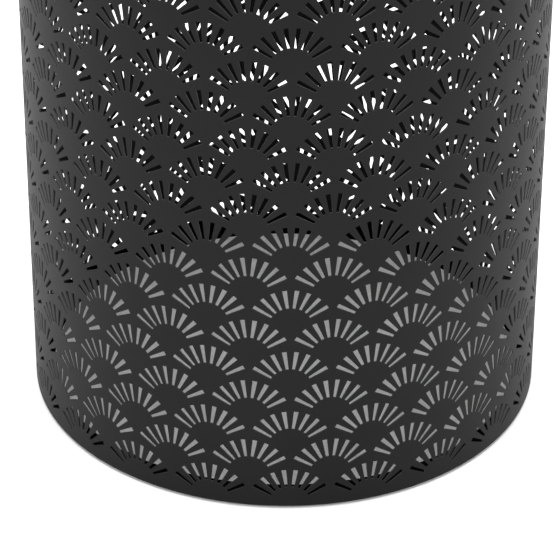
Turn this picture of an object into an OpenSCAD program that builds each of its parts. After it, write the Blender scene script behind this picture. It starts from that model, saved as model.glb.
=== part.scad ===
// Round umbrella stand: a rolled sheet-steel tube with a welded rim ring and base pan,
// four foot pads and a loose drip tray that lifts out through the top.
// Millimetres, +Z up. The origin is on the floor, on the axis of the tube.
// The tube's fan-shaped perforation is a surface pattern of several thousand slots
// and is left off this solid, which is the unpierced sheet.

/* [Tube] */
// Outer diameter of the rolled tube
outer_d = 195; // [180:1:220]
// Overall height, from the floor to the top of the rim
height = 490; // [400:5:600]
// Thickness of the tube's sheet
sheet_t = 0.5; // [0.4:0.1:1]

/* [Rim] */
// Diameter of the round wire inside the top edge
rim_wire_d = 4; // [3:0.5:5]

/* [Base pan] */
// Thickness of the pan's sheet
pan_t = 0.6; // [0.5:0.1:1]
// Height of the pan, from its underside to the top of its upturned flange
pan_h = 9; // [6:0.5:12]
// Inner bend radius between the pan's floor and its flange
pan_bend_r = 1.2; // [0.8:0.1:2]

/* [Foot pads] */
// Diameter of one pad
pad_d = 18; // [12:1:24]
// Thickness of one pad, which is also the gap under the tube
pad_t = 1.2; // [1:0.1:3]
// Radius of the circle that the pads stand on
pad_ring_r = 78; // [60:1:80]

/* [Drip tray] */
// Outer diameter of the tray's rim
tray_d = 180.6; // [150:0.2:182]
// Height of the tray
tray_h = 1.9; // [1.6:0.1:4]
// Thickness of the tray's floor and wall
tray_t = 0.6; // [0.5:0.1:1]
// How far the tray's wall leans outwards from its foot to its rim
tray_flare = 0.8; // [0.5:0.1:2]

/* [Welds] */
// Throat radius of the short tack welds
tack_r = 0.9; // [0.6:0.1:1.2]
// Length of one tack weld along the wall
tack_l = 9; // [6:1:14]
// Width of the bead down the tube's seam
seam_w = 1.4; // [1:0.1:1.6]

/* [Hidden] */
$fn = 96;

fit_gap = 0.05;       // between neighbouring welded pieces
tray_gap = 0.3;       // under the loose tray
tack_count = 8;
seam_angle = 90;      // the seam is at the back, on +Y

outer_r = outer_d / 2;
inner_r = outer_r - sheet_t;
pan_outer_r = inner_r - fit_gap;
pan_floor_z = pad_t;
pan_top_z = pan_floor_z + pan_h;
rim_r = rim_wire_d / 2;
rim_path_r = inner_r - fit_gap - rim_r;
rim_z = height - rim_r;
tray_z = pan_floor_z + pan_t + tray_gap;

// The sheet, rolled into a tube. It hangs clear of the floor by the pads' thickness.
module shell() {
    color([0.06, 0.06, 0.065])
    difference() {
        translate([0, 0, pad_t]) cylinder(r = outer_r, h = height - pad_t);
        cylinder(r = inner_r, h = height + 1);
    }
}

// The bead that closes the tube, flat against its inner wall from the pan to the rim.
module seam_weld() {
    bead_z = pan_top_z + fit_gap;
    bead_h = rim_z - rim_r - tack_r - bead_z;
    half_angle = asin(seam_w / 2 / inner_r);
    color([0.05, 0.05, 0.055])
    translate([0, 0, bead_z])
    linear_extrude(bead_h)
    intersection() {
        difference() {
            circle(r = inner_r - fit_gap);
            circle(r = inner_r - fit_gap - seam_w / 4);
        }
        rotate(seam_angle)
        polygon([[0, 0], [2 * inner_r, -2 * inner_r * tan(half_angle)],
                 [2 * inner_r, 2 * inner_r * tan(half_angle)]]);
    }
}

// Round wire welded inside the tube's top edge, level with it.
module rim_ring() {
    color([0.06, 0.06, 0.065])
    translate([0, 0, rim_z])
    rotate_extrude()
    translate([rim_path_r, 0])
    circle(r = rim_r, $fn = 32);
}

// Tack welds against the tube's inner wall: quarter-round beads that fill the corner
// above (side = 1) or below (side = -1) the piece they hold.
module tack_ring(z, side) {
    arc = tack_l / inner_r * 180 / PI;
    for (i = [0 : tack_count - 1])
        translate([0, 0, z])
        rotate(seam_angle + (i + 0.5) * 360 / tack_count - arc / 2)
        rotate_extrude(angle = arc)
        translate([inner_r - fit_gap, 0])
        intersection() {
            circle(r = tack_r, $fn = 32);
            translate([-2 * tack_r, side > 0 ? fit_gap : -2 * tack_r])
            square([2 * tack_r, 2 * tack_r - fit_gap]);
        }
}

// The rim ring touches the wall along its widest line, so its beads sit just under it.
module rim_welds() {
    color([0.05, 0.05, 0.055]) tack_ring(rim_z - rim_r, -1);
}

module base_welds() {
    color([0.05, 0.05, 0.055]) tack_ring(pan_top_z, 1);
}

// Pressed disc with its edge turned up all round, welded inside the tube's lower end.
module base_pan() {
    bend_out = pan_bend_r + pan_t;
    corner_r = pan_outer_r - bend_out;
    color([0.06, 0.06, 0.065])
    translate([0, 0, pan_floor_z])
    rotate_extrude()
    union() {
        square([corner_r, pan_t]);
        translate([corner_r, bend_out])
        intersection() {
            difference() {
                circle(r = bend_out, $fn = 48);
                circle(r = pan_bend_r, $fn = 48);
            }
            translate([0, -bend_out]) square(bend_out);
        }
        translate([pan_outer_r - pan_t, bend_out]) square([pan_t, pan_h - bend_out]);
    }
}

// Self-adhesive pad, with its edge rounded a little at the floor.
module foot_pad(index) {
    edge = 0.3;
    color([0.12, 0.12, 0.12])
    rotate(45 + 90 * index)
    translate([pad_ring_r, 0, 0])
    rotate_extrude()
    polygon([[0, 0], [pad_d / 2 - edge, 0], [pad_d / 2, edge],
             [pad_d / 2, pad_t - fit_gap], [0, pad_t - fit_gap]]);
}

// Shallow dish that catches the drips. It lies loose on the pan's floor.
module drip_tray() {
    rim_r = tray_d / 2;
    foot_r = rim_r - tray_flare;
    color([0.6, 0.6, 0.6])
    translate([0, 0, tray_z])
    rotate_extrude()
    polygon([[0, 0], [foot_r, 0], [rim_r, tray_h], [rim_r - tray_t, tray_h],
             [foot_r - tray_t, tray_t], [0, tray_t]]);
}

shell();
seam_weld();
rim_ring();
rim_welds();
base_pan();
base_welds();
foot_pad(0);  // foot_pad_1
foot_pad(1);  // foot_pad_2
foot_pad(2);  // foot_pad_3
foot_pad(3);  // foot_pad_4
drip_tray();
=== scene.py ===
"""Round perforated umbrella stand: the looks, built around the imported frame. Metres throughout."""
import math

import bpy
from mathutils import Euler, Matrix, Quaternion, Vector, geometry


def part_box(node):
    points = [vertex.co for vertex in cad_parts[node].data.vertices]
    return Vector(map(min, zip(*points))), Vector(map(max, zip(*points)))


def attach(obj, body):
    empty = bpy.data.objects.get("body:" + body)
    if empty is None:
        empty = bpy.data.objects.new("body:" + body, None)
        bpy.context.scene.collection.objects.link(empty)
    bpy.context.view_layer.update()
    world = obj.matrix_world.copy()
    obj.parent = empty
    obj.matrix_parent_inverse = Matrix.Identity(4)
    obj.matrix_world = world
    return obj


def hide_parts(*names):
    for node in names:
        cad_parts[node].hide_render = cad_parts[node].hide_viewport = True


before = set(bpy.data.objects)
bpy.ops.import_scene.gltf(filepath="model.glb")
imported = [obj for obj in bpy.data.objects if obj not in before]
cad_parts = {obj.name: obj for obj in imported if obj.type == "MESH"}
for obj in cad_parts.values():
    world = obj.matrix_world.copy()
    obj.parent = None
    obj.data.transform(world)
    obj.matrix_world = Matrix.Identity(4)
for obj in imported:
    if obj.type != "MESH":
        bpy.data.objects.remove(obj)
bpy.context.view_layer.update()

MM = 0.001
TINY = 0.0001 * MM
MERGE = 0.01 * MM               # points of the flat sheet this close together are one

# ---------------------------------------------------------------- sizes read from the frame

shell_low, shell_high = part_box("shell")
pan_low, pan_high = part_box("base_pan")
tray_low, tray_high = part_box("drip_tray")
ring_low, ring_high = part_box("rim_ring")

TUBE_R = shell_high.x
TUBE_FOOT = shell_low.z
TUBE_TOP = shell_high.z
SHEET = 0.5 * MM
INNER_R = TUBE_R - SHEET
WELD_GAP = 0.05 * MM            # between a weld bead and the tube's wall

# ---------------------------------------------------------------- the fan pattern

HALVES = 41                     # half fans in one row, from one edge of the sheet to the other
ROWS = 37
ROW_STEP = 12.91 * MM           # each row sits half a fan further round than the one below
FIRST_ROW = 0.73 * MM           # centre of the lowest fans, from the tube's lower edge
SLOTS = 4                       # slots in one half of a fan
SLOT_TURN = math.radians(16.71)
SLOT_START = 7.81 * MM          # from the fan's centre to a slot's narrow end
SLOT_END = 15.47 * MM           # and to its wide end
SLOT_NARROW = 1.04 * MM
SLOT_WIDE = 1.76 * MM
SEAM_GAP = 0.1 * MM             # between the sheet's two edges where they meet
HALF = (2 * math.pi * TUBE_R - SEAM_GAP) / HALVES
# Height of the line between two rows above the fan's centre, from over the centre to the
# side of the fan. It runs clear of every slot.
ROW_LINE = [17.4 * MM, 16.9 * MM, 15.6 * MM, 13.3 * MM, 11.4 * MM]


# ---------------------------------------------------------------- meshes

def new_piece(name, verts, faces, sharp=35):
    """A smooth-shaded mesh object whose edges are sharp where its faces turn by more than that."""
    mesh = bpy.data.meshes.new(name)
    mesh.from_pydata(verts, [], faces)
    mesh.validate()
    mesh.shade_smooth()
    mesh.set_sharp_from_angle(angle=math.radians(sharp))
    piece = bpy.data.objects.new(name, mesh)
    bpy.context.scene.collection.objects.link(piece)
    return piece


def rounded(outline, steps=5):
    """The closed outline of (r, z, radius) corners with each corner rounded to its radius."""
    points = []
    count = len(outline)
    for i, (r, z, radius) in enumerate(outline):
        here = Vector((r, z))
        before = Vector(outline[i - 1][:2])
        after = Vector(outline[(i + 1) % count][:2])
        if radius == 0:
            points.append(here)
            continue
        a = (before - here).normalized()
        b = (after - here).normalized()
        half = a.angle(b) / 2
        reach = radius / math.tan(half)
        centre = here + (a + b).normalized() * radius / math.sin(half)
        first = here + a * reach - centre
        turn = first.angle_signed(here + b * reach - centre)
        for k in range(steps + 1):
            t = -turn * k / steps
            c, s = math.cos(t), math.sin(t)
            points.append(centre + Vector((first.x * c - first.y * s, first.x * s + first.y * c)))
    return [(p.x, p.y) for p in points]


def revolve(name, outline, segments=192, centre=(0, 0), sharp=35):
    """Turns a closed outline of (r, z) points, counter-clockwise in the r-z plane, about Z."""
    verts, rings = [], []
    for r, z in outline:
        if r < TINY:
            # On the axis the ring shrinks to one point.
            rings.append([len(verts)] * segments)
            verts.append((centre[0], centre[1], z))
            continue
        rings.append(list(range(len(verts), len(verts) + segments)))
        for k in range(segments):
            a = 2 * math.pi * k / segments
            verts.append((centre[0] + r * math.cos(a), centre[1] + r * math.sin(a), z))
    faces = []
    for i, ring in enumerate(rings):
        upper = rings[(i + 1) % len(rings)]
        for k in range(segments):
            n = (k + 1) % segments
            corners = [ring[k], ring[n], upper[n], upper[k]]
            face = [v for j, v in enumerate(corners) if v != corners[j - 1]]
            if len(face) > 2:
                faces.append(face)
    return new_piece(name, verts, faces, sharp)


# ---------------------------------------------------------------- the perforated tube

def mirrored(points):
    """The same points on the other side of the fan's centre line, in turning order again."""
    return [Vector((-x, z)) for x, z in reversed(points)]


def half_fan_slots():
    """The slots right of a fan's centre, each as four (x, z) corners, counter-clockwise."""
    slots = []
    for k in range(SLOTS):
        lean = (k + 0.5) * SLOT_TURN
        out = Vector((math.sin(lean), math.cos(lean)))
        side = Vector((out.y, -out.x))
        near = out * SLOT_START
        far = out * SLOT_END
        slots.append([near - side * SLOT_NARROW / 2, near + side * SLOT_NARROW / 2,
                      far + side * SLOT_WIDE / 2, far - side * SLOT_WIDE / 2])
    return slots


def half_tile(bottom_heights, top_heights, slots):
    """The right half of a fan's tile: (points, triangles, slots), with the slots left open.
    The heights run from the fan's centre to its side."""
    step = HALF / (len(top_heights) - 1)
    outline = [Vector((k * step, z)) for k, z in enumerate(bottom_heights)]
    outline += [Vector((k * step, z)) for k, z in enumerate(top_heights)][::-1]
    scale = 1 / MM
    points = [p * scale for p in outline]
    loops = [list(range(len(points)))]
    for slot in slots:
        loops.append(list(range(len(points), len(points) + 4)))
        points += [p * scale for p in slot]
    inside_only = 1
    tolerance = 1e-5
    found, _, faces, _, _, sources = geometry.delaunay_2d_cdt(points, [], loops, inside_only, tolerance)
    solid = [face for face, source in zip(faces, sources) if max(source) == 0]
    return [p / scale for p in found], solid, slots


def flipped(tile):
    """The left half of a fan's tile, from the right half."""
    points, faces, slots = tile
    return ([Vector((-p.x, p.y)) for p in points], [face[::-1] for face in faces],
            [mirrored(slot) for slot in slots])


class Sheet:
    """The tube's outer surface laid out flat, x round the tube and z up, shared points merged."""

    def __init__(self):
        self.points = []
        self.index = {}
        self.faces = []
        self.holes = []

    def point(self, x, z):
        """The number of the point at (x, z)."""
        key = (round(x / MERGE), round(z / MERGE))
        if key not in self.index:
            self.index[key] = len(self.points)
            self.points.append((x, z))
        return self.index[key]

    def add(self, tile, x, z):
        """Puts a tile down with its fan's centre at (x, z)."""
        points, faces, slots = tile
        ids = [self.point(x + p.x, z + p.y) for p in points]
        self.faces += [[ids[i] for i in face] for face in faces]
        self.holes += [[self.point(x + p.x, z + p.y) for p in slot] for slot in slots]

    def open_edges(self):
        """The sheet's own outer edges, as pairs of points, with the slots' edges left out."""
        used = set()
        for face in self.faces:
            used.update(zip(face, face[1:] + face[:1]))
        for hole in self.holes:
            used.update(zip(hole, hole[1:] + hole[:1]))
        return [(b, a) for a, b in used if (b, a) not in used]


def lay_out_sheet():
    """Every row of fans from the tube's lower edge up, then the plain band over the last row.
    The sheet is an odd number of half fans wide, so a row has a half fan left at one edge."""
    slots = half_fan_slots()
    # The rows below cross this fan half a pitch to either side of its centre.
    under = [z - ROW_STEP for z in reversed(ROW_LINE)]
    foot = [-FIRST_ROW] * len(ROW_LINE)
    last_centre = FIRST_ROW + (ROWS - 1) * ROW_STEP
    head = [TUBE_TOP - TUBE_FOOT - last_centre] * len(ROW_LINE)
    lowest = half_tile(foot, ROW_LINE, slots)
    regular = half_tile(under, ROW_LINE, slots)
    plain = half_tile(ROW_LINE, head, [])
    sheet = Sheet()
    for row in range(ROWS):
        z = FIRST_ROW + row * ROW_STEP
        for column in range(HALVES):
            right_half = (row + column) % 2 == 1
            x = (column if right_half else column + 1) * HALF
            tiles = [regular if row else lowest]
            if row == ROWS - 1:
                tiles.append(plain)
            for tile in tiles:
                sheet.add(tile if right_half else flipped(tile), x, z)
    return sheet


def make_shell():
    """Rolls the flat sheet into the tube and gives it its thickness and the slots their walls."""
    sheet = lay_out_sheet()
    count = len(sheet.points)
    verts, outward = [], []
    for radius in (TUBE_R, INNER_R):
        for x, z in sheet.points:
            a = (x + SEAM_GAP / 2) / TUBE_R
            outward.append((-math.sin(a), math.cos(a), 0))
            verts.append((-radius * math.sin(a), radius * math.cos(a), TUBE_FOOT + z))
    faces, normals = [], []
    for face in sheet.faces:
        faces.append(face)
        normals += [outward[i] for i in face]
        faces.append([i + count for i in reversed(face)])
        normals += [tuple(-c for c in outward[i]) for i in reversed(face)]
    walls = sheet.open_edges()
    for hole in sheet.holes:
        walls += zip(hole, hole[1:] + hole[:1])
    for a, b in walls:
        wall = [a, b, b + count, a + count]
        corners = [Vector(verts[i]) for i in wall]
        normal = (corners[1] - corners[0]).cross(corners[3] - corners[0]).normalized()
        faces.append(wall)
        normals += [tuple(normal)] * 4
    mesh = bpy.data.meshes.new("perforated_tube")
    mesh.from_pydata(verts, [], faces)
    mesh.shade_smooth()
    # The slot walls take the second material, the coat coloured lighter: a painted highlight.
    highlight_edge_mask = [0] * (len(faces) - len(walls)) + [1] * len(walls)
    mesh.polygons.foreach_set("material_index", highlight_edge_mask)
    mesh.normals_split_custom_set(normals)
    piece = bpy.data.objects.new("perforated_tube", mesh)
    bpy.context.scene.collection.objects.link(piece)
    return piece


# ---------------------------------------------------------------- the other pieces

def make_pan():
    """Pressed base disc with a bent-up flange and a softly rounded top edge."""
    sheet, bend = 0.6 * MM, 1.2 * MM
    r, low, high = pan_high.x, pan_low.z, pan_high.z
    outline = rounded([(0, low, 0), (r, low, bend + sheet), (r, high, 0.25 * MM),
                       (r - sheet, high, 0.25 * MM), (r - sheet, low + sheet, bend),
                       (0, low + sheet, 0)])
    return revolve("flanged_base_pan", outline)


def make_tray():
    """Shallow moulded dish with a leaning wall and a rounded lip."""
    wall, flare, lip = 0.6 * MM, 0.8 * MM, 0.28 * MM
    r, low, high = tray_high.x, tray_low.z, tray_high.z
    outline = rounded([(0, low, 0), (r - flare, low, lip), (r, high, lip),
                       (r - wall, high, lip), (r - wall - flare, low + wall, lip),
                       (0, low + wall, 0)])
    return revolve("loose_drip_tray", outline)


def make_ring():
    """The wire ring inside the top edge."""
    wire = (ring_high.z - ring_low.z) / 2
    path = ring_high.x - wire
    middle = (ring_high.z + ring_low.z) / 2
    steps = 24
    outline = [(path + wire * math.cos(2 * math.pi * k / steps),
                middle + wire * math.sin(2 * math.pi * k / steps)) for k in range(steps)]
    return revolve("rim_wire_ring", outline, segments=256, sharp=60)


def make_pad(node):
    """Foam pad with soft edges."""
    low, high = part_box(node)
    centre = (low + high) / 2
    r = (high.x - low.x) / 2
    outline = rounded([(0, low.z, 0), (r, low.z, 0.35 * MM), (r, high.z, 0.2 * MM),
                       (0, high.z, 0)])
    return revolve("pad_" + node[-1], outline, segments=64, centre=(centre.x, centre.y), sharp=60)


def make_tacks(name, node, side):
    """Short rippled beads in the corner above (side 1) or below (side -1) a welded piece."""
    low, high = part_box(node)
    foot = low.z if side > 0 else high.z
    throat = high.z - low.z
    tacks, length, along, across = 8, 9 * MM, 28, 6
    verts, faces = [], []
    for tack in range(tacks):
        middle = math.pi / 2 + 2 * math.pi * (tack + 0.5) / tacks
        start = len(verts)
        for i in range(along + 1):
            t = i / along
            angle = middle + (t - 0.5) * length / INNER_R
            taper = max(0.25, 1 - abs(2 * t - 1) ** 4)
            size = throat * taper * (0.93 + 0.07 * math.cos(14 * math.pi * t))
            ring = [(INNER_R - WELD_GAP, foot)]
            for k in range(across + 1):
                turn = math.pi / 2 * k / across
                ring.append((INNER_R - WELD_GAP - size * math.cos(turn),
                             foot + side * size * math.sin(turn)))
            for r, z in ring:
                verts.append((r * math.cos(angle), r * math.sin(angle), z))
        n = across + 2
        for i in range(along):
            for k in range(n):
                a, b = start + i * n + k, start + i * n + (k + 1) % n
                faces.append([a, b, b + n, a + n][::side])
        faces.append([start + k for k in range(n)][::-side])
        faces.append([start + along * n + k for k in range(n)][::side])
    return new_piece(name, verts, faces, sharp=50)


def make_seam():
    """The long bead down the tube's seam, rippled where the welds overlap."""
    low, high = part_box("seam_weld")
    half, thick = (high.x - low.x) / 2, 0.35 * MM
    ripple, per_ripple, across = 1.6 * MM, 4, 6
    rings = int((high.z - low.z) / ripple * per_ripple)
    verts, faces = [], []
    wall = INNER_R - WELD_GAP
    for i in range(rings + 1):
        z = low.z + (high.z - low.z) * i / rings
        swell = 0.9 + 0.1 * math.cos(2 * math.pi * i / per_ripple)
        for k in range(across + 1):
            turn = math.pi * k / across
            x = -half * math.cos(turn)
            y = math.sqrt(wall ** 2 - x ** 2) - thick * swell * math.sin(turn)
            verts.append((x, y, z))
    n = across + 1
    for i in range(rings):
        for k in range(n):
            a, b = i * n + k, i * n + (k + 1) % n
            faces.append([a, b, b + n, a + n])
    faces.append(list(range(n))[::-1])
    faces.append([rings * n + k for k in range(n)])
    return new_piece("seam_bead", verts, faces, sharp=60)


def place(piece, node, body, slot, *materials):
    """Hands a finished piece to the frame and gives it its materials."""
    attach(piece, body)
    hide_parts(node)
    for material in materials:
        piece.data.materials.append(material)


# ---------------------------------------------------------------- materials

def new_material(name):
    """A node material: (material, its nodes, its links, its shader)."""
    material = bpy.data.materials.new(name)
    material.use_nodes = True
    nodes, links = material.node_tree.nodes, material.node_tree.links
    return material, nodes, links, nodes["Principled BSDF"]


def add_noise(nodes, links, coords, scale, detail=2, roughness=0.5):
    """Solid noise fixed to the piece. The scale is its blobs to the metre."""
    node = nodes.new("ShaderNodeTexNoise")
    node.inputs["Scale"].default_value = scale
    node.inputs["Detail"].default_value = detail
    node.inputs["Roughness"].default_value = roughness
    links.new(coords.outputs["Object"], node.inputs["Vector"])
    return node


def add_range(nodes, links, source, low, high, from_low=0.3, from_high=0.7):
    """Stretches the middle of a noise to run from low to high."""
    node = nodes.new("ShaderNodeMapRange")
    node.inputs["From Min"].default_value = from_low
    node.inputs["From Max"].default_value = from_high
    node.inputs["To Min"].default_value = low
    node.inputs["To Max"].default_value = high
    links.new(source, node.inputs["Value"])
    return node


def add_ramp(nodes, links, source, low, high, from_low=0.3, from_high=0.7):
    """Colours the middle of a noise from one colour to the other."""
    node = nodes.new("ShaderNodeValToRGB")
    node.color_ramp.elements[0].position = from_low
    node.color_ramp.elements[0].color = (*low, 1)
    node.color_ramp.elements[1].position = from_high
    node.color_ramp.elements[1].color = (*high, 1)
    links.new(source, node.inputs["Fac"])
    return node


def add_bump(nodes, links, heights, depths, strength):
    """Chains one bump per height so that each keeps its own depth."""
    last = None
    for height, depth in zip(heights, depths):
        bump = nodes.new("ShaderNodeBump")
        bump.inputs["Distance"].default_value = depth
        bump.inputs["Strength"].default_value = strength
        links.new(height, bump.inputs["Height"])
        if last:
            links.new(last.outputs["Normal"], bump.inputs["Normal"])
        last = bump
    return last


def powder_coat(name, dark, light, shine=0.12):
    """Satin black powder coat: orange peel, a fine grain in it, and uneven sheen."""
    material, nodes, links, shader = new_material(name)
    coords = nodes.new("ShaderNodeTexCoord")
    peel = add_noise(nodes, links, coords, 900, detail=1)
    grain = add_noise(nodes, links, coords, 4200, detail=2)
    patches = add_noise(nodes, links, coords, 22, detail=4)
    colour = add_ramp(nodes, links, patches.outputs["Fac"], dark, light)
    sheen = add_range(nodes, links, patches.outputs["Fac"], 0.50, 0.55)
    bump = add_bump(nodes, links, [peel.outputs["Fac"], grain.outputs["Fac"]],
                    [0.05 * MM, 0.01 * MM], 0.5)
    links.new(colour.outputs["Color"], shader.inputs["Base Color"])
    links.new(sheen.outputs["Result"], shader.inputs["Roughness"])
    links.new(bump.outputs["Normal"], shader.inputs["Normal"])
    shader.inputs["Specular IOR Level"].default_value = shine
    return material


def tray_plastic():
    """Light grey moulded plastic with a fine spark-eroded grain."""
    material, nodes, links, shader = new_material("grey_tray_plastic")
    coords = nodes.new("ShaderNodeTexCoord")
    grain = add_noise(nodes, links, coords, 1500, detail=3, roughness=0.6)
    clouds = add_noise(nodes, links, coords, 30, detail=3)
    mixed = nodes.new("ShaderNodeMix")
    mixed.inputs["Factor"].default_value = 0.35
    links.new(grain.outputs["Fac"], mixed.inputs["A"])
    links.new(clouds.outputs["Fac"], mixed.inputs["B"])
    colour = add_ramp(nodes, links, mixed.outputs["Result"], (0.46, 0.46, 0.455),
                      (0.62, 0.62, 0.615))
    sheen = add_range(nodes, links, clouds.outputs["Fac"], 0.52, 0.62)
    bump = add_bump(nodes, links, [grain.outputs["Fac"]], [0.05 * MM], 0.6)
    links.new(colour.outputs["Color"], shader.inputs["Base Color"])
    links.new(sheen.outputs["Result"], shader.inputs["Roughness"])
    links.new(bump.outputs["Normal"], shader.inputs["Normal"])
    return material


def pad_rubber():
    """Matt black foam rubber with open pores."""
    material, nodes, links, shader = new_material("pad_rubber")
    coords = nodes.new("ShaderNodeTexCoord")
    pores = nodes.new("ShaderNodeTexVoronoi")
    pores.inputs["Scale"].default_value = 1600
    links.new(coords.outputs["Object"], pores.inputs["Vector"])
    dust = add_noise(nodes, links, coords, 120, detail=4)
    colour = add_ramp(nodes, links, dust.outputs["Fac"], (0.016, 0.016, 0.016),
                      (0.035, 0.034, 0.033))
    bump = add_bump(nodes, links, [pores.outputs["Distance"]], [0.15 * MM], 0.7)
    links.new(colour.outputs["Color"], shader.inputs["Base Color"])
    links.new(bump.outputs["Normal"], shader.inputs["Normal"])
    shader.inputs["Roughness"].default_value = 0.85
    return material


def build_stand():
    """Makes every piece and hands it to the frame with its material. The pan's coat is painted darker
    than the tube's and without shine as painted shade, and the slots' cut edges are painted lighter as
    a painted highlight."""
    coat = powder_coat("black_powder_coat", (0.0055, 0.0055, 0.0058), (0.0075, 0.0075, 0.0079))
    # Painted highlight: the slots' cut edges are the same coat coloured about eight times lighter,
    # standing in for light falling on them.
    lit_edge_coat = powder_coat("painted_highlight_edge_coat", (0.045, 0.045, 0.045), (0.06, 0.06, 0.06))
    # Painted shade: the pan gets the black coat made darker and without shine, standing in for the deep
    # shade inside the tube.
    pan_shade_coat = powder_coat("painted_shade_pan_coat", (0.0012, 0.0012, 0.0013),
                              (0.002, 0.002, 0.0021), shine=0)
    plastic = tray_plastic()
    rubber = pad_rubber()
    place(make_shell(), "shell", "stand", "powder_coat", coat, lit_edge_coat)
    place(make_seam(), "seam_weld", "stand", "powder_coat", coat)
    place(make_ring(), "rim_ring", "stand", "powder_coat", coat)
    place(make_tacks("rim_tacks", "rim_welds", -1), "rim_welds", "stand", "powder_coat", coat)
    place(make_pan(), "base_pan", "stand", "powder_coat", pan_shade_coat)
    place(make_tacks("base_tacks", "base_welds", 1), "base_welds", "stand", "powder_coat", coat)
    for number in "1234":
        node = "foot_pad_" + number
        place(make_pad(node), node, "stand", "pad_rubber", rubber)
    place(make_tray(), "drip_tray", "tray", "tray_plastic", plastic)


# ---------------------------------------------------------------- floor, light and camera

def make_floor():
    """Plain pale floor, large enough for every view."""
    mesh = bpy.data.meshes.new("floor")
    side = 30
    mesh.from_pydata([(-side, -side, 0), (side, -side, 0), (side, side, 0), (-side, side, 0)],
                     [], [(0, 1, 2, 3)])
    floor = bpy.data.objects.new("floor", mesh)
    bpy.context.scene.collection.objects.link(floor)
    material, _, _, shader = new_material("pale_floor")
    shader.inputs["Base Color"].default_value = (0.96, 0.96, 0.96, 1)
    shader.inputs["Roughness"].default_value = 0.9
    shader.inputs["Specular IOR Level"].default_value = 0.1
    mesh.materials.append(material)


STUDIO_TURN = math.radians(-32.057)     # how far round the stand the studio is set up


def studio_point(x, y, z):
    """A place in the studio, x to the camera's right and y away from it, past the stand."""
    c, s = math.cos(STUDIO_TURN), math.sin(STUDIO_TURN)
    return Vector((x * c - y * s, x * s + y * c, z))


def add_lamp(name, size, energy, place_at):
    """A round soft lamp that points at the middle of the stand."""
    data = bpy.data.lights.new(name, "AREA")
    data.shape = "DISK"
    data.size = size
    data.energy = energy
    lamp = bpy.data.objects.new(name, data)
    lamp.location = place_at
    middle = Vector((0, 0, (TUBE_TOP + TUBE_FOOT) / 2))
    lamp.rotation_mode = "QUATERNION"
    lamp.rotation_quaternion = (middle - lamp.location).to_track_quat("-Z", "Y")
    lamp.visible_camera = False
    bpy.context.scene.collection.objects.link(lamp)


def make_lights():
    """Even white surroundings, one large soft lamp overhead and a softbox to either side."""
    world = bpy.data.worlds.new("studio")
    bpy.context.scene.world = world
    world.use_nodes = True
    world.node_tree.nodes["Background"].inputs["Color"].default_value = (1, 1, 1, 1)
    world.node_tree.nodes["Background"].inputs["Strength"].default_value = 0.6
    add_lamp("overhead", 2.4, 125, studio_point(0, 0.35, 3.0))
    for side in (-1, 1):
        add_lamp("softbox", 0.9, 12, studio_point(1.2 * side, -1.1, 1.0))


def make_camera():
    """Looks down at the lower half of the stand from in front, with a long lens."""
    data = bpy.data.cameras.new("camera")
    data.sensor_width = 36
    data.lens = 193.73
    data.clip_start = 0.1
    camera = bpy.data.objects.new("camera", data)
    away = 0.9792
    height = 0.6547 + TUBE_FOOT
    pitch = math.radians(32.207)
    roll = math.radians(0.181)
    aim_aside = math.radians(0.169)
    camera.location = studio_point(0, -away, height)
    camera.rotation_mode = "QUATERNION"
    heading = Euler((math.pi / 2 - pitch, 0, STUDIO_TURN + aim_aside)).to_quaternion()
    camera.rotation_quaternion = heading @ Quaternion((0, 0, 1), roll)
    bpy.context.scene.collection.objects.link(camera)
    bpy.context.scene.camera = camera


build_stand()
make_floor()
make_lights()
make_camera()
bpy.context.scene.view_settings.view_transform = "Standard"
